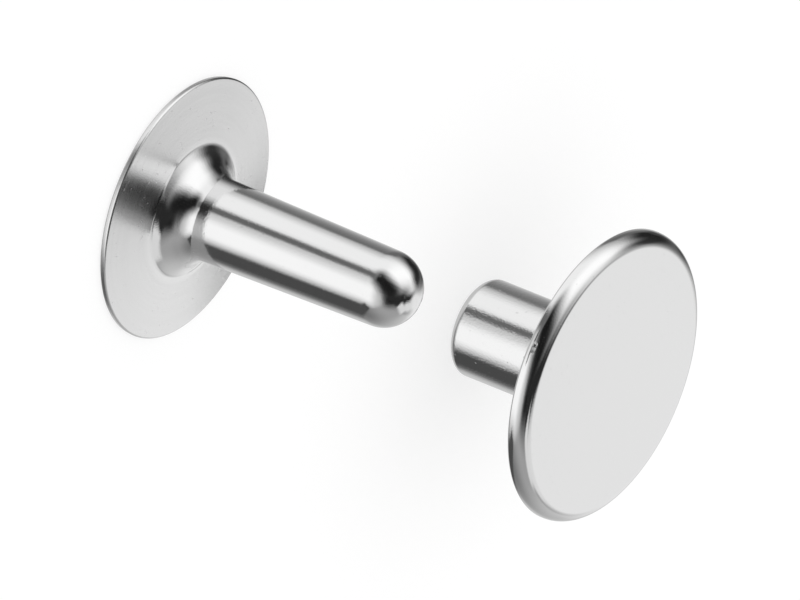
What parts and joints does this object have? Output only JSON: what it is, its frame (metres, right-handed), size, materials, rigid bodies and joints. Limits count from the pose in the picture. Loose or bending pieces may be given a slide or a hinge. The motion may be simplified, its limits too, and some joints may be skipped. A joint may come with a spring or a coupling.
{
  "type": "hollow rivet",
  "caption": "Two-part hollow rivet in bright metal: a flanged post with a closed hollow shank, and a round cap with a tube that takes it.",
  "frame": {"origin": "centre of the post's flange, in the plane of its back", "axes": "+Z along the post's axis from the flange to the tip, +Y towards the cap that stands beside the post"},
  "size_m": [0.009, 0.0271, 0.0083],
  "materials": {
    "post_sheet": "bright nickel plate on drawn sheet, faint turning marks and specks",
    "shell_sheet": "bright nickel plate on smooth sheet",
    "socket_sheet": "bright nickel plate on drawn sheet, small pits and specks"
  },
  "bodies": {
    "root": {"post": "post_sheet", "cap_shell": "shell_sheet", "cap_socket": "socket_sheet"}
  },
  "joints": []
}
